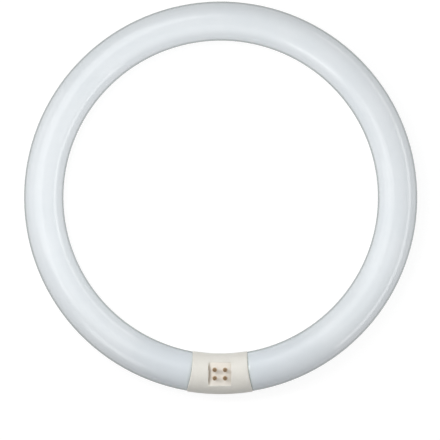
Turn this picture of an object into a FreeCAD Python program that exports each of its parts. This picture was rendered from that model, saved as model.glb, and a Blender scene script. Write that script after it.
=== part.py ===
import FreeCAD, Part
import math
import os

from FreeCAD import Vector

# A circular fluorescent tube: a ring of coated glass whose two ends meet in a moulded cap with four pins.
# It lies flat with its pins up. X runs along the cap, the cap is on the -Y side, and Z is up.
# The origin is the ring's centre, at the height of the surface that it lies on. Lengths are in millimetres.

# Glass tube
ring_outside_diameter = 305.0
tube_diameter = 30.5
neck_step = 1.4
taper_length = 4.0
taper_showing = 2.0
glass_insertion = 11.5
shoulder_radius = 5.0
stem_mouth_diameter = 13.0
stem_throat_diameter = 8.8
stem_depth = 6.0
exhaust_tube_diameter = 4.4
exhaust_tip_length = 3.0
exhaust_tip_taper = 2.4
exhaust_tip_radius = 0.6

# Cap, two moulded halves that close round the glass ends
cap_length = 47.0
cap_wall = 1.65
glass_clearance = 0.2
rim_clearance = 0.1
rim_setback = 1.8
rim_angle = 1.8
rim_rounding = 0.9

# Lip of the front half, inside the wall of the rear half
lip_height = 0.8
lip_thickness = 0.5
lip_setback = 0.5
lip_clearance = 0.05

# Groove round the outside of the joint between the halves
groove_depth = 0.2

# Recess round the pins
recess_length = 17.0
recess_width = 17.6
recess_corner_radius = 1.0
recess_edge_rounding = 0.3
recess_depth = 3.1
recess_floor_thickness = 1.8

# Ribs that stop the glass ends
rib_thickness = 1.2
rib_clearance = 0.3
rib_overlap = 0.8

# Pegs on the rear half and their sockets on the front half
peg_diameter = 2.0
peg_length = 3.5
peg_tip_chamfer = 0.4
peg_clearance = 0.05
peg_end_clearance = 0.3
peg_post_wall = 1.0
peg_spacing_along = 13.0
peg_inset = 1.9

# Contact pins, in the rectangle of a four-pin ring lamp
pin_diameter = 2.5
pin_length = 7.0
pin_tip_rounding = 0.6
pin_spacing_along = 7.92
pin_spacing_across = 6.35
pin_flange_overhang = 0.25
pin_flange_thickness = 0.3
pin_seat_step = 0.2
pin_seat_clearance = 0.05
pin_boss_wall = 1.2
pin_boss_height = 1.4
pin_collar_overhang = 0.75
pin_collar_thickness = 0.8
pin_tail_diameter = 1.8
pin_tail_length = 3.0
pin_cup_depth = 2.2

# Lead wires, from the glass stems into the pins
wire_diameter = 0.6
wire_clearance = 0.15
wire_bend_radius = 2.5
wire_straight_length = 8.0

# Glass, worked out from the sizes above
ring_radius = (ring_outside_diameter - tube_diameter) / 2
tube_radius = tube_diameter / 2
neck_radius = tube_radius - neck_step
end_flat_radius = neck_radius - shoulder_radius
half_cap = cap_length / 2
glass_end = half_cap - glass_insertion
shoulder_start = glass_end + shoulder_radius
taper_end = half_cap - rim_setback + taper_showing
taper_start = taper_end - taper_length
stem_mouth_radius = stem_mouth_diameter / 2
stem_throat_radius = stem_throat_diameter / 2
stem_floor = shoulder_radius - stem_depth
exhaust_radius = exhaust_tube_diameter / 2

# Cap, worked out
bore_radius = neck_radius + glass_clearance
cap_radius = bore_radius + cap_wall
axis_height = cap_radius
rim_radius = (cap_radius ** 2 + rim_setback ** 2) / (2 * rim_setback)
recess_floor = axis_height + cap_radius - recess_depth
tray_bottom = recess_floor - recess_floor_thickness
peg_across = bore_radius - peg_inset

# Pins, worked out: radii, and heights from the tip down
pin_radius = pin_diameter / 2
pin_seat_radius = pin_radius + pin_seat_step
pin_flange_radius = pin_seat_radius + pin_flange_overhang
pin_hole_radius = pin_seat_radius + pin_seat_clearance
pin_boss_radius = pin_hole_radius + pin_boss_wall
pin_collar_radius = pin_seat_radius + pin_collar_overhang
pin_tail_radius = pin_tail_diameter / 2
pin_tip = recess_floor + pin_length
pin_flange_top = recess_floor + pin_flange_thickness
boss_bottom = tray_bottom - pin_boss_height
collar_bottom = boss_bottom - pin_collar_thickness
tail_bottom = collar_bottom - pin_tail_length
cup_top = tail_bottom + pin_cup_depth

# Wires, worked out
wire_radius = wire_diameter / 2
cup_radius = wire_radius + wire_clearance
stem_wire_across = (stem_throat_radius + exhaust_radius) / 2

overrun = 2.0
ring_centre = Vector(0, 0, 0)
along = Vector(1, 0, 0)
up = Vector(0, 0, 1)
cap_centre = Vector(0, -ring_radius, axis_height)


def turned(shape, arc):
    """The shape, modelled at the middle of the cap, moved round the ring by a length of arc."""
    moved = shape.copy()
    moved.rotate(ring_centre, up, math.degrees(arc / ring_radius))
    return moved


def mirrored(shape):
    """The shape on the other side of the cap's middle."""
    return shape.mirror(ring_centre, along)


def section(radius, arc):
    """The tube's round section at a length of arc from the cap's middle, its seam level with the axis."""
    circle = Part.Wire(Part.Circle(cap_centre, along, radius).toShape())
    circle.rotate(cap_centre, along, 90)
    return turned(circle, arc)


def bent_rod(radius, arc_from, arc_to):
    """A round rod that follows the ring between two lengths of arc."""
    face = Part.Face(section(radius, arc_from))
    return face.revolve(ring_centre, up, math.degrees((arc_to - arc_from) / ring_radius))


def block(length, width, bottom, top):
    """An upright block at the middle of the cap."""
    corner = Vector(-length / 2, -ring_radius - width / 2, bottom)
    return Part.makeBox(length, width, top - bottom, corner)


def upright_rod(radius, place, bottom, top):
    """An upright rod at a place on the cap, given as (along, outwards)."""
    foot = Vector(place[0], -ring_radius - place[1], bottom)
    return Part.makeCylinder(radius, top - bottom, foot)


def corner_places(spacing_along, spacing_across):
    """The corners of a rectangle on the cap, as (along, outwards), in a fixed order."""
    return [
        (-spacing_along / 2, -spacing_across / 2),
        (-spacing_along / 2, spacing_across / 2),
        (spacing_along / 2, -spacing_across / 2),
        (spacing_along / 2, spacing_across / 2),
    ]


corner_names = ["left_inner", "left_outer", "right_inner", "right_outer"]


def edge_through(points):
    """A straight edge through two points, or an arc through three."""
    if len(points) == 2:
        return Part.LineSegment(*points).toShape()
    return Part.Arc(*points).toShape()


def turned_end(strokes):
    """A solid turned about the tube's axis where the glass shoulder starts.
    Each stroke is a line or an arc, as (towards the cap's middle, radius) points."""
    edges = []
    for stroke in strokes:
        edges.append(edge_through([cap_centre + Vector(-reach, 0, radius) for reach, radius in stroke]))
    closing_edge = edge_through([edges[-1].Vertexes[-1].Point, edges[0].Vertexes[0].Point])
    face = Part.Face(Part.Wire(edges + [closing_edge]))
    return turned(face.revolve(cap_centre, along, 360), shoulder_start)


def shoulder():
    """The rounded end of the glass."""
    bend = shoulder_radius * math.sqrt(0.5)
    return turned_end([
        [(0, 0), (0, neck_radius)],
        [(0, neck_radius), (bend, end_flat_radius + bend), (shoulder_radius, end_flat_radius)],
        [(shoulder_radius, end_flat_radius), (shoulder_radius, 0)],
    ])


def stem_hollow():
    """The flared hollow of the glass stem, open towards the cap's middle."""
    halfway = (shoulder_radius + stem_floor) / 2
    flare = stem_throat_radius + (stem_mouth_radius - stem_throat_radius) / 4
    open_end = shoulder_radius + overrun
    return turned_end([
        [(stem_floor, 0), (stem_floor, stem_throat_radius)],
        [(stem_floor, stem_throat_radius), (halfway, flare), (shoulder_radius, stem_mouth_radius)],
        [(shoulder_radius, stem_mouth_radius), (open_end, stem_mouth_radius)],
        [(open_end, stem_mouth_radius), (open_end, 0)],
    ])


def exhaust_tube():
    """The sealed tip of the exhaust tube, standing in the stem's hollow."""
    root = stem_floor - overrun
    tip = shoulder_radius + exhaust_tip_length
    taper = tip - exhaust_tip_taper
    ball = tip - exhaust_tip_radius
    bulge = exhaust_tip_radius * math.sqrt(0.5)
    return turned_end([
        [(root, 0), (root, exhaust_radius)],
        [(root, exhaust_radius), (taper, exhaust_radius)],
        [(taper, exhaust_radius), (ball, exhaust_tip_radius)],
        [(ball, exhaust_tip_radius), (ball + bulge, bulge), (tip, 0)],
    ])


def taper(from_radius, to_radius):
    """A rod that widens smoothly along the stretch where the glass goes from its neck to its full size."""
    steps = 4
    sections = []
    for step in range(steps + 1):
        share = step / steps
        radius = from_radius + (to_radius - from_radius) * (1 - math.cos(math.pi * share)) / 2
        sections.append(section(radius, taper_start + taper_length * share))
    return Part.makeLoft(sections, True, False)


def glass_end_piece():
    """One end of the glass: taper, neck, shoulder, stem hollow and exhaust tip."""
    neck = bent_rod(neck_radius, shoulder_start, taper_start)
    end = neck.fuse([taper(neck_radius, tube_radius), shoulder()])
    return end.cut(stem_hollow()).fuse(exhaust_tube())


def glass_tube():
    """The sealed ring of coated glass, one solid."""
    whole_turn = 2 * math.pi * ring_radius
    ring = bent_rod(tube_radius, taper_end, whole_turn - taper_end)
    end = glass_end_piece()
    return ring.fuse([end, mirrored(end)]).removeSplitter()


def rim_limit():
    """A wide bar across the tube, whose round side gives one end of the cap its curved rim.
    It stands at the rim's angle to square across the tube, so the cap is less of a wedge."""
    inner_side = half_cap + cap_radius
    outer_side = cap_radius + overrun
    foot = cap_centre + Vector(-rim_radius, -outer_side, 0)
    bar = Part.makeCylinder(rim_radius, inner_side + outer_side, foot, Vector(0, 1, 0))
    bar.rotate(cap_centre, up, -rim_angle)
    return turned(bar, half_cap)


def is_rim(edge):
    """True for an edge round one end of the cap."""
    return edge.BoundBox.ZLength > cap_radius and abs(edge.CenterOfMass.x) > half_cap / 2


def barrel():
    """The outer form of the closed cap, with its rims rounded over."""
    rod = bent_rod(cap_radius, -half_cap - overrun, half_cap + overrun)
    limit = rim_limit()
    solid = rod.common(limit).common(mirrored(limit))
    rounding = min(rim_rounding, 0.8 * cap_wall)
    return solid.makeFillet(rounding, [e for e in solid.Edges if is_rim(e)])


def block_between(bottom, top):
    """A block much wider than the cap between two heights."""
    side = 4 * cap_length
    return block(side, side, bottom, top)


def inside_wall(shape):
    """The shape trimmed to the cap's inside and half of its wall."""
    return shape.common(bent_rod(bore_radius + cap_wall / 2, -half_cap, half_cap))


def end_rib():
    """The rib that stops one glass end, parallel to the flat of the glass."""
    near = shoulder_radius + rib_clearance
    far = near + rib_thickness
    opening_radius = end_flat_radius - rib_overlap
    return inside_wall(turned_end([
        [(near, opening_radius), (near, cap_radius)],
        [(near, cap_radius), (far, cap_radius)],
        [(far, cap_radius), (far, opening_radius)],
    ]))


def peg_places():
    """The four pegs' places."""
    return corner_places(peg_spacing_along, 2 * peg_across)


def peg_posts():
    """The posts that carry the pegs below and the sockets above."""
    radius = peg_diameter / 2 + peg_post_wall
    bottom = axis_height - cap_radius
    top = axis_height + cap_radius
    return [inside_wall(upright_rod(radius, place, bottom, top)) for place in peg_places()]


def lip(clearance):
    """The lip across the joint between the halves, along both sides of the cap, grown by a clearance."""
    reach = taper_start - lip_setback + clearance
    wall = bent_rod(bore_radius + lip_thickness + clearance, -reach, reach)
    return wall.cut(bore()).common(block_between(axis_height - lip_height - clearance, axis_height))


def joint_groove():
    """Two thin rings that cut a groove along the joint between the halves, inside the ring and outside it."""
    rings = []
    for radius in (ring_radius - cap_radius, ring_radius + cap_radius):
        corners = [
            Vector(radius - groove_depth, 0, axis_height),
            Vector(radius, 0, axis_height + groove_depth),
            Vector(radius + groove_depth, 0, axis_height),
            Vector(radius, 0, axis_height - groove_depth),
        ]
        face = Part.Face(Part.makePolygon(corners + corners[:1]))
        rings.append(face.revolve(ring_centre, up, 360))
    return rings


def bore():
    """The cap's room for the glass, wider towards both ends as the glass is."""
    mouth_radius = tube_radius + rim_clearance
    mouth = taper(bore_radius, mouth_radius).fuse(bent_rod(mouth_radius, taper_end, half_cap + 2 * overrun))
    return bent_rod(bore_radius, -taper_start, taper_start).fuse([mouth, mirrored(mouth)])


def half_shell(outside, features, bottom, top):
    """The part of an outer form between two heights, hollowed, with the features left standing inside."""
    rib = end_rib()
    room = bore().cut([rib, mirrored(rib)] + peg_posts() + features)
    return outside.cut(joint_groove()).common(block_between(bottom, top)).cut(room)


def round_plan(solid, radius):
    """The solid with its upright edges rounded."""
    upright = [e for e in solid.Edges if e.BoundBox.ZLength > 0.9 * solid.BoundBox.ZLength]
    return solid.makeFillet(radius, upright)


def recess():
    """The room of the recess, open at the top."""
    room = block(recess_length, recess_width, recess_floor, axis_height + cap_radius + overrun)
    return round_plan(room, recess_corner_radius)


def is_recess_edge(edge):
    """True for an edge round the mouth of the recess."""
    box = edge.BoundBox
    above_floor = box.ZMin > recess_floor + 0.01
    near_middle = abs(box.Center.x) < 0.51 * recess_length and box.XLength < half_cap
    return above_floor and near_middle and abs(box.Center.y + ring_radius) < 0.51 * recess_width


def recessed_barrel():
    """The outer form of the cap with its recess, rounded at the recess's mouth."""
    solid = barrel().cut(recess())
    return solid.makeFillet(recess_edge_rounding, [e for e in solid.Edges if is_recess_edge(e)])


def recess_tray():
    """The walls and floor under the recess."""
    length = recess_length + 2 * cap_wall
    width = recess_width + 2 * cap_wall
    tray = block(length, width, tray_bottom, axis_height + cap_radius)
    return round_plan(tray, recess_corner_radius + cap_wall)


def cap_front_shell():
    """The half of the cap with the recess, the pin bosses, the peg sockets and the lip."""
    pins = corner_places(pin_spacing_along, pin_spacing_across)
    bosses = [upright_rod(pin_boss_radius, place, boss_bottom, recess_floor) for place in pins]
    shell = half_shell(recessed_barrel(), [recess_tray()] + bosses, axis_height, axis_height + cap_radius)
    hole_bottom = boss_bottom - overrun
    hole_top = recess_floor + overrun
    holes = [upright_rod(pin_hole_radius, place, hole_bottom, hole_top) for place in pins]
    socket_radius = peg_diameter / 2 + peg_clearance
    socket_top = axis_height + peg_length + peg_end_clearance
    sockets = [upright_rod(socket_radius, place, axis_height - overrun, socket_top) for place in peg_places()]
    return shell.cut(holes + sockets).fuse(lip(0))


def cap_rear_shell():
    """The plain half of the cap, with the pegs."""
    shell = half_shell(barrel(), [], axis_height - cap_radius, axis_height).cut(lip(lip_clearance))
    pegs = []
    for place in peg_places():
        peg = upright_rod(peg_diameter / 2, place, axis_height - overrun, axis_height + peg_length)
        tip = [e for e in peg.Edges if e.BoundBox.ZMin > axis_height + peg_length - 0.01]
        pegs.append(peg.makeChamfer(peg_tip_chamfer, tip))
    return shell.fuse(pegs)


def contact_pin(place):
    """One pin: domed shank, flange on the recess floor, seat, collar under the boss, tail with a wire cup."""
    shank = upright_rod(pin_radius, place, recess_floor, pin_tip)
    tip = [e for e in shank.Edges if e.BoundBox.ZMin > pin_tip - 0.01]
    shank = shank.makeFillet(pin_tip_rounding, tip)
    flange = upright_rod(pin_flange_radius, place, recess_floor, pin_flange_top)
    seat = upright_rod(pin_seat_radius, place, boss_bottom, recess_floor)
    collar = upright_rod(pin_collar_radius, place, collar_bottom, boss_bottom)
    tail = upright_rod(pin_tail_radius, place, tail_bottom, collar_bottom)
    cup = upright_rod(cup_radius, place, tail_bottom, cup_top)
    return shank.fuse([flange, seat, collar, tail]).cut(cup).removeSplitter()


def rounded_route(points, radius):
    """A wire through the points, straight between them, with a tangent arc at each corner."""
    edges = []
    start = points[0]
    for index in range(1, len(points) - 1):
        corner = points[index]
        back = (points[index - 1] - corner).normalize()
        onward = (points[index + 1] - corner).normalize()
        opening = back.getAngle(onward)
        reach = radius / math.tan(opening / 2)
        towards_centre = (back + onward).normalize()
        middle = corner + towards_centre * (radius / math.sin(opening / 2) - radius)
        arc_start = corner + back * reach
        arc_end = corner + onward * reach
        edges.append(edge_through([start, arc_start]))
        edges.append(edge_through([arc_start, middle, arc_end]))
        start = arc_end
    edges.append(edge_through([start, points[-1]]))
    return Part.Wire(edges)


def right_lead_wire(pin_place, side):
    """The wire from the right glass stem to a pin. Side is -1 inside the ring and 1 outside it."""
    across = -side * stem_wire_across
    at_shoulder = [cap_centre + Vector(-stem_floor, across, 0)]
    at_shoulder.append(cap_centre + Vector(-stem_floor - wire_straight_length, across, 0))
    points = [turned(Part.Vertex(point), shoulder_start).Point for point in at_shoulder]
    points.append(Vector(pin_place[0], -ring_radius - pin_place[1], axis_height))
    points.append(Vector(pin_place[0], -ring_radius - pin_place[1], cup_top - wire_clearance))
    route = rounded_route(points, wire_bend_radius)
    first_run = points[1] - points[0]
    circle = Part.Wire(Part.Circle(points[0], first_run, wire_radius).toShape())
    return route.makePipeShell([circle], True, False)


def lead_wire(name, place):
    """The lead wire of the named pin."""
    side = -1 if name.endswith("inner") else 1
    wire = right_lead_wire((abs(place[0]), place[1]), side)
    return mirrored(wire) if name.startswith("left") else wire


def all_pieces():
    """Every piece of the tube, by name."""
    pieces = {
        "glass_tube": glass_tube(),
        "cap_front_shell": cap_front_shell(),
        "cap_rear_shell": cap_rear_shell(),
    }
    for name, place in zip(corner_names, corner_places(pin_spacing_along, pin_spacing_across)):
        pieces["pin_" + name] = contact_pin(place)
        pieces["lead_wire_" + name] = lead_wire(name, place)
    return pieces


os.makedirs("parts", exist_ok=True)
for name, shape in all_pieces().items():
    shape.exportStep("parts/" + name + ".step")
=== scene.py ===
import math

import bpy
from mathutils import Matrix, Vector

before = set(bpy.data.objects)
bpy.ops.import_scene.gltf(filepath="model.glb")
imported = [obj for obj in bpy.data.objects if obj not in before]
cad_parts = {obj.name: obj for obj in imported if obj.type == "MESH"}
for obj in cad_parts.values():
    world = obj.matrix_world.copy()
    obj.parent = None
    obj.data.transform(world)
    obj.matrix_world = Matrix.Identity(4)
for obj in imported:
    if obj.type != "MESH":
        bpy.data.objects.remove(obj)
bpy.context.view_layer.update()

# A circular fluorescent tube lies flat on a white floor, its pins up, and the camera looks down on it.
# Lengths are in metres. The frame is that of the CAD: the ring's centre is over the origin, the cap is
# on the -Y side and Z is up.

# Places in the CAD that the finishes go by: the middle of the glass tube and of the cap, the recess's
# walls from its middle, and heights above the floor.
RING_RADIUS = 0.13725
RECESS_HALF_X = 0.0085
RECESS_HALF_Y = 0.0088
RECESS_FLOOR = 0.0283
RECESS_MOUTH = 0.0314
PIN_TIP = 0.0353

# Arcs round the ring from the cap's middle. Over the first, the greying of the coating near the cap
# fades out, and its clouds shift that by up to CLOUD_SHIFT. Over the second, its thin end at the rims
# does, ragged by up to RAG_DEPTH.
GREYED_ARC = (0.030, 0.110)
CLOUD_SHIFT = 0.010
THIN_ARC = (0.0235, 0.0285)
RAG_DEPTH = 0.003

# The dust and painted shadow in the seams change from the left rim's to the right rim's within this of
# the cap's middle.
CHANGEOVER = 0.005

# The heights over which a pin's painted dark reflection at the tip begins.
PAINTED_DARK_TIP = (PIN_TIP - 0.0016, PIN_TIP - 0.0007)

# How strongly rubbed edges, and dust with painted shade, show.
WEAR_ON_PLASTIC = 0.5
DUST_AND_SHADE_ON_PLASTIC = 0.5
WEAR_ON_BRASS = 0.4

# The refractive index of the glass and of the plastic.
GLOSSY_IOR = 1.5

# Colours, as linear red, green, blue and alpha.
WHITE = (1.0, 1.0, 1.0, 1.0)
FLOOR_GREY = (0.26, 0.26, 0.26, 1.0)

COATING = (0.756, 0.800, 0.830, 1.0)
COATING_PALE = (0.786, 0.824, 0.852, 1.0)
COATING_GREYED = (0.655, 0.700, 0.738, 1.0)
COATING_THIN = (0.640, 0.720, 0.700, 1.0)
SEAM_DUST_AND_SHADOW = (0.165, 0.176, 0.162, 1.0)
GLASS_WALL_AND_EDGE_SHADE = (0.150, 0.205, 0.195, 1.0)

PLASTIC = (0.724, 0.705, 0.652, 1.0)
PLASTIC_PALE = (0.753, 0.736, 0.685, 1.0)
PLASTIC_PAINTED_LIGHT = (0.815, 0.782, 0.718, 1.0)
PLASTIC_RUBBED = (0.840, 0.830, 0.800, 1.0)
PLASTIC_DUST_AND_SHADE = (0.430, 0.350, 0.275, 1.0)
LEFT_WALL_PAINTED_SHADOW = (0.350, 0.275, 0.175, 1.0)

BRASS = (0.580, 0.440, 0.300, 1.0)
BRASS_TARNISHED = (0.430, 0.310, 0.195, 1.0)
BRASS_PAINTED_DARK = (0.215, 0.152, 0.092, 1.0)
BRASS_PAINTED_DARKER = (0.125, 0.086, 0.053, 1.0)
BRASS_RUBBED = (0.620, 0.480, 0.330, 1.0)

PLATING = (0.560, 0.545, 0.520, 1.0)
PLATING_DULL = (0.470, 0.450, 0.425, 1.0)


# Node trees.

def add(tree, kind, **settings):
    """A new node in a tree, with its own settings."""
    node = tree.nodes.new(kind)
    for key, value in settings.items():
        setattr(node, key, value)
    return node


def feed(tree, source, socket):
    """Puts an output, or a plain value, into an input."""
    if isinstance(source, bpy.types.NodeSocket):
        tree.links.new(source, socket)
    else:
        socket.default_value = source


def maths(tree, operation, *values, clamp=False):
    """A Math node's result."""
    node = add(tree, "ShaderNodeMath", operation=operation, use_clamp=clamp)
    for socket, value in zip(node.inputs, values):
        feed(tree, value, socket)
    return node.outputs[0]


def product(tree, first, *others):
    """Masks or values multiplied together."""
    for other in others:
        first = maths(tree, "MULTIPLY", first, other)
    return first


def vector_maths(tree, operation, first, second):
    """A Vector Math node's results, Vector and Value."""
    node = add(tree, "ShaderNodeVectorMath", operation=operation)
    feed(tree, first, node.inputs[0])
    feed(tree, second, node.inputs[1])
    return node.outputs


def rise(tree, value, start, end, low=0.0, high=1.0):
    """A smooth step from low to high while the value goes from start to end."""
    node = add(tree, "ShaderNodeMapRange", interpolation_type="SMOOTHSTEP")
    for socket, given in zip(node.inputs, (value, start, end, low, high)):
        feed(tree, given, socket)
    return node.outputs[0]


def fall(tree, value, start, end):
    """A smooth step from 1 down to 0 while the value goes from start to end."""
    return rise(tree, value, start, end, low=1.0, high=0.0)


def between(tree, mask, low, high):
    """A value from low to high while a mask goes from 0 to 1."""
    return rise(tree, mask, 0.0, 1.0, low, high)


def blend_colours(tree, share, first, second):
    """The first colour, with a share of the second."""
    node = add(tree, "ShaderNodeMix", data_type="RGBA")
    feed(tree, share, node.inputs["Factor"])
    colours = [s for s in node.inputs if s.type == "RGBA"]
    feed(tree, first, colours[0])
    feed(tree, second, colours[1])
    return [s for s in node.outputs if s.type == "RGBA"][0]


def shaded_place(tree):
    """The place of the point that is shaded, in the CAD's frame. Each CAD object is at the origin."""
    return add(tree, "ShaderNodeTexCoord").outputs["Object"]


def axes(tree, place):
    """A place's X, Y and Z, by name."""
    parts = add(tree, "ShaderNodeSeparateXYZ")
    feed(tree, place, parts.inputs[0])
    return parts.outputs


def noise(tree, place, size, detail, roughness=0.5):
    """Noise with features of about the given size, from 0 to 1."""
    node = add(tree, "ShaderNodeTexNoise")
    feed(tree, place, node.inputs["Vector"])
    scale = 1.0 / size if isinstance(size, float) else maths(tree, "DIVIDE", 1.0, size)
    feed(tree, scale, node.inputs["Scale"])
    node.inputs["Detail"].default_value = detail
    node.inputs["Roughness"].default_value = roughness
    return node.outputs["Fac"]


def unevenness(tree, place, size, detail):
    """A share from 0.65 to 1, in patches of about the given size, that breaks up a mask of dust and
    painted shade.
    """
    return rise(tree, noise(tree, place, size, detail), 0.2, 0.8, low=0.65)


def new_group(name, output, inputs):
    """A shader node group with inputs, given by name with their usual values, and one numeric output.

    Returns its tree, its input node's outputs and the socket that takes the result.
    """
    tree = bpy.data.node_groups.new(name, "ShaderNodeTree")
    for label, usual in inputs.items():
        kind = "NodeSocketVector" if isinstance(usual, tuple) else "NodeSocketFloat"
        tree.interface.new_socket(label, in_out="INPUT", socket_type=kind).default_value = usual
    tree.interface.new_socket(output, in_out="OUTPUT", socket_type="NodeSocketFloat")
    return tree, add(tree, "NodeGroupInput").outputs, add(tree, "NodeGroupOutput").inputs[output]


def place_group(tree, group, **values):
    """A group placed in a tree, its inputs given by name with _ for a space. Returns its result."""
    node = add(tree, "ShaderNodeGroup", node_tree=group)
    for label, value in values.items():
        feed(tree, value, node.inputs[label.replace("_", " ")])
    return node.outputs[0]


# Effects that more than one material uses.

def make_soft_mottle():
    """Soft cloudy patches, large ones and a share of fine ones, as a mask from 0 to 1."""
    tree, given, mask = new_group("soft mottle", "Mask", {"Patch Size": 0.02, "Fine Share": 0.3})
    place = shaded_place(tree)
    fine_size = product(tree, given["Patch Size"], 0.22)
    mixed = add(tree, "ShaderNodeMix", data_type="FLOAT")
    share, _, large, fine = mixed.inputs[:4]
    feed(tree, given["Fine Share"], share)
    feed(tree, noise(tree, place, given["Patch Size"], detail=1.5), large)
    feed(tree, noise(tree, place, fine_size, detail=3.0), fine)
    feed(tree, rise(tree, mixed.outputs[0], start=0.32, end=0.68), mask)
    return tree


def make_fine_grain():
    """The grain of a moulded or drawn surface, as a height from 0 to 1.

    Along an axis whose Squeeze is below 1, the grain is that much longer.
    """
    tree, given, height = new_group(
        "fine grain", "Height", {"Grain Size": 0.0004, "Squeeze": (1.0, 1.0, 1.0)}
    )
    squeezed = vector_maths(tree, "MULTIPLY", shaded_place(tree), given["Squeeze"])["Vector"]
    feed(tree, noise(tree, squeezed, given["Grain Size"], detail=2.0, roughness=0.6), height)
    return tree


def make_edge_wear():
    """A mask that is 1 on rubbed outer edges and 0 on flat faces, broken up by noise."""
    tree, given, mask = new_group("edge wear", "Mask", {"Edge Width": 0.0005, "Break Up Size": 0.002})
    rounded = add(tree, "ShaderNodeBevel", samples=6)
    feed(tree, given["Edge Width"], rounded.inputs["Radius"])
    sharp = add(tree, "ShaderNodeNewGeometry").outputs["Normal"]
    agreement = vector_maths(tree, "DOT_PRODUCT", rounded.outputs[0], sharp)["Value"]
    turned = maths(tree, "SUBTRACT", 1.0, agreement)
    spots = noise(tree, shaded_place(tree), given["Break Up Size"], detail=3.0)
    rubbed = rise(tree, turned, start=0.01, end=0.12)
    feed(tree, product(tree, rubbed, rise(tree, spots, start=0.35, end=0.65)), mask)
    return tree


def make_crevice_dust_and_shade():
    """A mask of dust and painted shade that is 1 deep in narrow gaps, where shade falls, and 0 on open
    faces, broken up by noise.

    The dust and painted shade are full where the share of open sky within Reach is under Packed Below,
    and gone where it is over Clean Above.
    """
    tree, given, mask = new_group(
        "crevice dust and shade",
        "Mask",
        {"Reach": 0.0015, "Break Up Size": 0.002, "Packed Below": 0.35, "Clean Above": 0.95},
    )
    # Painted shade: darkening follows the occlusion of the surface.
    open_sky = add(tree, "ShaderNodeAmbientOcclusion", samples=8)
    feed(tree, given["Reach"], open_sky.inputs["Distance"])
    settled_and_shaded = fall(tree, open_sky.outputs["AO"], given["Packed Below"], given["Clean Above"])
    patches = unevenness(tree, shaded_place(tree), given["Break Up Size"], detail=2.0)
    feed(tree, product(tree, settled_and_shaded, patches), mask)
    return tree


soft_mottle = make_soft_mottle()
fine_grain = make_fine_grain()
edge_wear = make_edge_wear()
crevice_dust_and_shade = make_crevice_dust_and_shade()


# Materials.

def new_material(name):
    """A material with one Principled shader, its node tree and that shader's inputs."""
    material = bpy.data.materials.new(name)
    material.use_nodes = True
    shader = next(n for n in material.node_tree.nodes if n.type == "BSDF_PRINCIPLED")
    return material, material.node_tree, shader.inputs


def raise_surface(tree, height, depth, normal):
    """Feeds a shader's normal from a height that goes from 0 to 1 over the given depth."""
    bump = add(tree, "ShaderNodeBump")
    bump.inputs["Strength"].default_value = 1.0
    bump.inputs["Distance"].default_value = depth
    feed(tree, height, bump.inputs["Height"])
    feed(tree, bump.outputs[0], normal)


def arc_from_cap(tree, place):
    """The length of arc round the ring from the cap's middle, the same on both sides."""
    along = axes(tree, place)
    to_the_side = maths(tree, "ABSOLUTE", along["X"])
    towards_cap = maths(tree, "MULTIPLY", along["Y"], -1.0)
    angle = maths(tree, "ARCTAN2", to_the_side, towards_cap)
    return maths(tree, "MULTIPLY", angle, RING_RADIUS)


def coated_glass():
    """Clear glass over a white powder coating, seen as one glossy surface."""
    material, tree, shader = new_material("coated glass")
    place = shaded_place(tree)
    arc = arc_from_cap(tree, place)
    x = axes(tree, place)["X"]

    # The coating is faintly cloudy, greyer near the cap and thin where it ends at the rims.
    clouds = place_group(tree, soft_mottle, Patch_Size=0.035, Fine_Share=0.35)
    coating = blend_colours(tree, clouds, COATING, COATING_PALE)
    cloudy_arc = maths(tree, "MULTIPLY_ADD", clouds, CLOUD_SHIFT, arc)
    greyed = blend_colours(tree, fall(tree, cloudy_arc, *GREYED_ARC), coating, COATING_GREYED)
    specks = noise(tree, place, size=0.004, detail=3.0)
    ragged_arc = maths(tree, "MULTIPLY_ADD", specks, RAG_DEPTH, arc)
    thin = rise(tree, ragged_arc, *THIN_ARC, low=0.30, high=0.0)
    tinted = blend_colours(tree, thin, greyed, COATING_THIN)

    # Dust and painted shade fill the seams at the cap's rims, and a painted shadow makes the right one
    # darker.
    def left_to_right(left, right):
        return rise(tree, x, -CHANGEOVER, CHANGEOVER, left, right)

    seam_dust_and_shadow = place_group(
        tree,
        crevice_dust_and_shade,
        Reach=0.0026,
        Break_Up_Size=0.003,
        Packed_Below=left_to_right(0.35, 0.62),
        Clean_Above=left_to_right(0.92, 1.0),
    )
    dusty_and_shaded = blend_colours(tree, product(tree, seam_dust_and_shadow, left_to_right(0.62, 0.98)), tinted, SEAM_DUST_AND_SHADOW)

    # Seen edge on, the clear wall outside the coating shows the glass's own dark green, and this also
    # paints shade along the tube's outline.
    edge_on = add(tree, "ShaderNodeLayerWeight")
    edge_on.inputs["Blend"].default_value = 0.5
    wall_and_edge_shade = rise(tree, edge_on.outputs["Facing"], start=0.50, end=0.80, high=0.90)
    feed(tree, blend_colours(tree, wall_and_edge_shade, dusty_and_shaded, GLASS_WALL_AND_EDGE_SHADE), shader["Base Color"])

    # Smudges take a little of the gloss, and the blown glass is very slightly wavy.
    smudges = place_group(tree, soft_mottle, Patch_Size=0.022, Fine_Share=0.6)
    feed(tree, between(tree, smudges, low=0.12, high=0.17), shader["Roughness"])
    waves = noise(tree, place, size=0.030, detail=1.0)
    raise_surface(tree, waves, depth=0.00012, normal=shader["Normal"])
    shader["IOR"].default_value = GLOSSY_IOR
    return material


def place_in_recess(tree, place):
    """A place's X, its distance from the recess's middle along Y, and its Z."""
    along = axes(tree, place)
    off_middle = maths(tree, "ABSOLUTE", maths(tree, "ADD", along["Y"], RING_RADIUS))
    return along["X"], off_middle, along["Z"]


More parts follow.
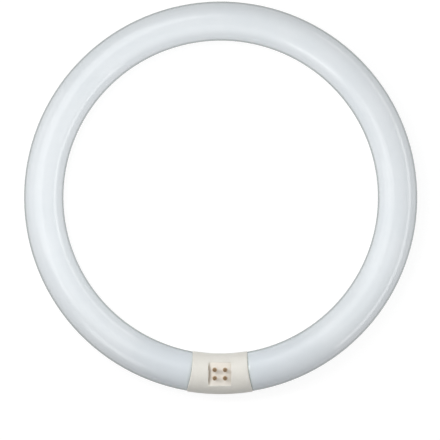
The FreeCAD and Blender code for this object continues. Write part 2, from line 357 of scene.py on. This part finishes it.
def recess_light_mask(tree):
    """1 on the floor and the lower walls of the recess, where a lighter colour is painted in as painted
    light against the recess's shade.
    """
    x, off_middle, z = place_in_recess(tree, shaded_place(tree))
    return product(
        tree,
        fall(tree, maths(tree, "ABSOLUTE", x), RECESS_HALF_X - 0.0003, RECESS_HALF_X + 0.0002),
        fall(tree, off_middle, RECESS_HALF_Y - 0.0003, RECESS_HALF_Y + 0.0002),
        fall(tree, z, RECESS_FLOOR + 0.0005, RECESS_FLOOR + 0.0019),
    )


def left_wall_shadow_mask(tree):
    """1 on the recess's left wall, below its mouth and away from its corners, broken up by noise, where
    a shadow is painted.
    """
    place = shaded_place(tree)
    x, off_middle, z = place_in_recess(tree, place)
    return product(
        tree,
        fall(tree, x, -RECESS_HALF_X + 0.0001, -RECESS_HALF_X + 0.0004),
        rise(tree, x, -RECESS_HALF_X - 0.0006, -RECESS_HALF_X - 0.0002),
        fall(tree, off_middle, RECESS_HALF_Y - 0.0038, RECESS_HALF_Y - 0.0004),
        fall(tree, z, RECESS_MOUTH - 0.0006, RECESS_MOUTH - 0.0001),
        unevenness(tree, place, size=0.0015, detail=3.0),
    )


def cap_plastic():
    """Warm white moulded plastic with a fine satin grain, its edges rubbed, dust and painted shade in
    its corners, painted light in its recess and a painted shadow on the recess's left wall.
    """
    material, tree, shader = new_material("cap plastic")
    clouds = place_group(tree, soft_mottle, Patch_Size=0.009, Fine_Share=0.4)
    body = blend_colours(tree, clouds, PLASTIC, PLASTIC_PALE)
    # Painted light: the recess's floor and lower walls are made lighter.
    recess_lit = blend_colours(tree, recess_light_mask(tree), body, PLASTIC_PAINTED_LIGHT)
    wear = place_group(tree, edge_wear, Edge_Width=0.0004, Break_Up_Size=0.0025)
    worn = blend_colours(tree, product(tree, wear, WEAR_ON_PLASTIC), recess_lit, PLASTIC_RUBBED)
    # Dust and painted shade in the corners and narrow gaps.
    dust_and_shade = place_group(tree, crevice_dust_and_shade, Reach=0.0016, Break_Up_Size=0.002)
    dusty_and_shaded = blend_colours(tree, product(tree, dust_and_shade, DUST_AND_SHADE_ON_PLASTIC), worn, PLASTIC_DUST_AND_SHADE)
    # Painted shadow along the recess's left wall.
    wall_shadowed = blend_colours(tree, left_wall_shadow_mask(tree), dusty_and_shaded, LEFT_WALL_PAINTED_SHADOW)
    feed(tree, wall_shadowed, shader["Base Color"])

    # Rubbed edges are smoother than the rest.
    sheen = place_group(tree, soft_mottle, Patch_Size=0.006, Fine_Share=0.5)
    dull = between(tree, sheen, low=0.40, high=0.50)
    feed(tree, maths(tree, "MULTIPLY_ADD", wear, -0.12, dull), shader["Roughness"])
    grain = place_group(tree, fine_grain, Grain_Size=0.00045)
    raise_surface(tree, grain, depth=0.000012, normal=shader["Normal"])
    shader["IOR"].default_value = GLOSSY_IOR
    return material


def pin_brass():
    """Dull brass, drawn along the pin and tarnished in patches, with a painted dark reflection at the
    tip and painted shade at the foot.
    """
    material, tree, shader = new_material("pin brass")
    tarnish = place_group(tree, soft_mottle, Patch_Size=0.0022, Fine_Share=0.5)
    brass = blend_colours(tree, tarnish, BRASS, BRASS_TARNISHED)
    painted_dark = blend_colours(tree, tarnish, BRASS_PAINTED_DARK, BRASS_PAINTED_DARKER)
    # Painted shade at the pin's foot, and a painted dark reflection at its tip.
    foot_shade = place_group(tree, crevice_dust_and_shade, Reach=0.0020, Break_Up_Size=0.001)
    height = axes(tree, shaded_place(tree))["Z"]
    tip_reflection = rise(tree, height, *PAINTED_DARK_TIP)
    metal = blend_colours(tree, maths(tree, "MAXIMUM", foot_shade, tip_reflection), brass, painted_dark)
    wear = place_group(tree, edge_wear, Edge_Width=0.0003, Break_Up_Size=0.0012)
    worn = blend_colours(tree, product(tree, wear, WEAR_ON_BRASS), metal, BRASS_RUBBED)
    feed(tree, worn, shader["Base Color"])
    feed(tree, between(tree, tarnish, low=0.32, high=0.48), shader["Roughness"])
    grain = place_group(tree, fine_grain, Grain_Size=0.00012, Squeeze=(1.0, 1.0, 0.08))
    raise_surface(tree, grain, depth=0.000006, normal=shader["Normal"])
    shader["Metallic"].default_value = 1.0
    return material


def wire_metal():
    """Plated lead wire, slightly dull, drawn along its length."""
    material, tree, shader = new_material("lead wire metal")
    patches = place_group(tree, soft_mottle, Patch_Size=0.003, Fine_Share=0.4)
    feed(tree, blend_colours(tree, patches, PLATING, PLATING_DULL), shader["Base Color"])
    feed(tree, between(tree, patches, low=0.26, high=0.38), shader["Roughness"])
    grain = place_group(tree, fine_grain, Grain_Size=0.0001, Squeeze=(0.15, 1.0, 1.0))
    raise_surface(tree, grain, depth=0.000004, normal=shader["Normal"])
    shader["Metallic"].default_value = 1.0
    return material


# The first word of a CAD node's name says what it is made of.
finishes = {
    "glass": coated_glass(),
    "cap": cap_plastic(),
    "pin": pin_brass(),
    "lead": wire_metal(),
}
for name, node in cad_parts.items():
    finish = finishes[name.split("_")[0]]
    for material_slot in node.material_slots:
        material_slot.material = finish


# Floor, surroundings and lights.

def seen_directly(tree):
    """1 for what the camera sees, also in a gloss or through glass, and 0 for light on things."""
    path = add(tree, "ShaderNodeLightPath").outputs
    direct = maths(tree, "ADD", path["Is Camera Ray"], path["Is Glossy Ray"])
    return maths(tree, "ADD", direct, path["Is Transmission Ray"], clamp=True)


def floor_material(own_white=0.84):
    """A pale floor that takes shadows. Its own white and the light on it add up to 1 outside them."""
    material = bpy.data.materials.new("pale floor")
    material.use_nodes = True
    tree = material.node_tree
    tree.nodes.clear()
    matt = add(tree, "ShaderNodeBsdfDiffuse")
    matt.inputs["Color"].default_value = FLOOR_GREY
    white = add(tree, "ShaderNodeEmission")
    white.inputs["Color"].default_value = WHITE
    feed(tree, product(tree, seen_directly(tree), own_white), white.inputs["Strength"])
    both = add(tree, "ShaderNodeAddShader")
    feed(tree, matt.outputs[0], both.inputs[0])
    feed(tree, white.outputs[0], both.inputs[1])
    feed(tree, both.outputs[0], add(tree, "ShaderNodeOutputMaterial").inputs["Surface"])
    return material


def pale_floor(half_side):
    """The floor that the tube lies on."""
    corners = [(x * half_side, y * half_side, 0.0) for x, y in ((-1, -1), (1, -1), (1, 1), (-1, 1))]
    mesh = bpy.data.meshes.new("floor")
    mesh.from_pydata(corners, [], [(0, 1, 2, 3)])
    floor = bpy.data.objects.new("floor", mesh)
    bpy.context.scene.collection.objects.link(floor)
    floor.data.materials.append(floor_material())


def surroundings(strength):
    """Soft even light from all round, behind a white background."""
    world = bpy.data.worlds.new("studio")
    bpy.context.scene.world = world
    world.use_nodes = True
    tree = world.node_tree
    tree.nodes.clear()
    backdrop = add(tree, "ShaderNodeBackground")
    backdrop.inputs["Color"].default_value = WHITE
    room = add(tree, "ShaderNodeBackground")
    room.inputs["Color"].default_value = WHITE
    room.inputs["Strength"].default_value = strength
    chosen = add(tree, "ShaderNodeMixShader")
    feed(tree, seen_directly(tree), chosen.inputs[0])
    feed(tree, room.outputs[0], chosen.inputs[1])
    feed(tree, backdrop.outputs[0], chosen.inputs[2])
    feed(tree, chosen.outputs[0], add(tree, "ShaderNodeOutputWorld").inputs["Surface"])


def softbox(name, azimuth, reach, height, size, power, aim=(0.0, 0.0, 0.0), spread=180):
    """A rectangular light that faces the point given, placed by its bearing, reach and height."""
    light = bpy.data.lights.new(name, "AREA")
    light.shape = "RECTANGLE"
    light.size, light.size_y = size
    light.energy = power
    light.spread = math.radians(spread)
    lamp = bpy.data.objects.new(name, light)
    bpy.context.scene.collection.objects.link(lamp)
    bearing = math.radians(azimuth)
    lamp.location = (reach * math.cos(bearing), reach * math.sin(bearing), height)
    lamp.rotation_euler = (Vector(aim) - lamp.location).to_track_quat("-Z", "Y").to_euler()
    lamp.visible_camera = False


# Name, bearing in degrees from +X, reach from the ring's centre, height above the floor, width and
# height of the panel, power in watts, and for some the point faced and the spread in degrees.
softboxes = [
    ("upper left softbox", 150, 0.48, 0.70, (0.95, 0.62), 3.55),
    ("low left panel", 165, 1.64, 0.44, (1.30, 0.80), 3.1),
    ("front left panel", 232, 1.10, 0.75, (0.50, 0.50), 1.65),
    ("right near strip", 329, 1.64, 0.40, (1.11, 0.45), 4.3),
    ("right middle strip", 6, 1.64, 0.56, (1.11, 0.45), 4.6),
    ("right far strip", 43, 1.64, 0.54, (1.11, 0.45), 2.6),
    ("inner fill", 270, 0.06, 0.20, (0.36, 0.16), 0.142, (0.0, 0.137, 0.0)),
    ("low right fill", 180, 0.05, 0.10, (0.20, 0.08), 0.0110, (0.137, 0.03, 0.015)),
    ("low top fill", 270, 0.05, 0.10, (0.20, 0.08), 0.0155, (0.0, 0.137, 0.015)),
    ("cap key", 190, 0.225, 0.32, (0.08, 0.08), 0.0030, (0.0, -0.137, 0.03), 13),
]

pale_floor(half_side=4.0)
surroundings(strength=0.283)
for box in softboxes:
    softbox(*box)


def add_camera(place, tilt, turn):
    """The photograph's view, from above. Tilt leans it to the ring's far side, and turn is its roll."""
    data = bpy.data.cameras.new("camera")
    data.sensor_width = 36.0
    data.lens = 146.45
    data.clip_end = 50.0
    camera = bpy.data.objects.new("camera", data)
    bpy.context.scene.collection.objects.link(camera)
    camera.location = place
    camera.rotation_euler = (math.radians(tilt), 0.0, math.radians(turn))
    bpy.context.scene.camera = camera


add_camera(place=(0.0, -0.1131, 1.400), tilt=3.91, turn=0.26)
bpy.context.scene.view_settings.view_transform = "Standard"
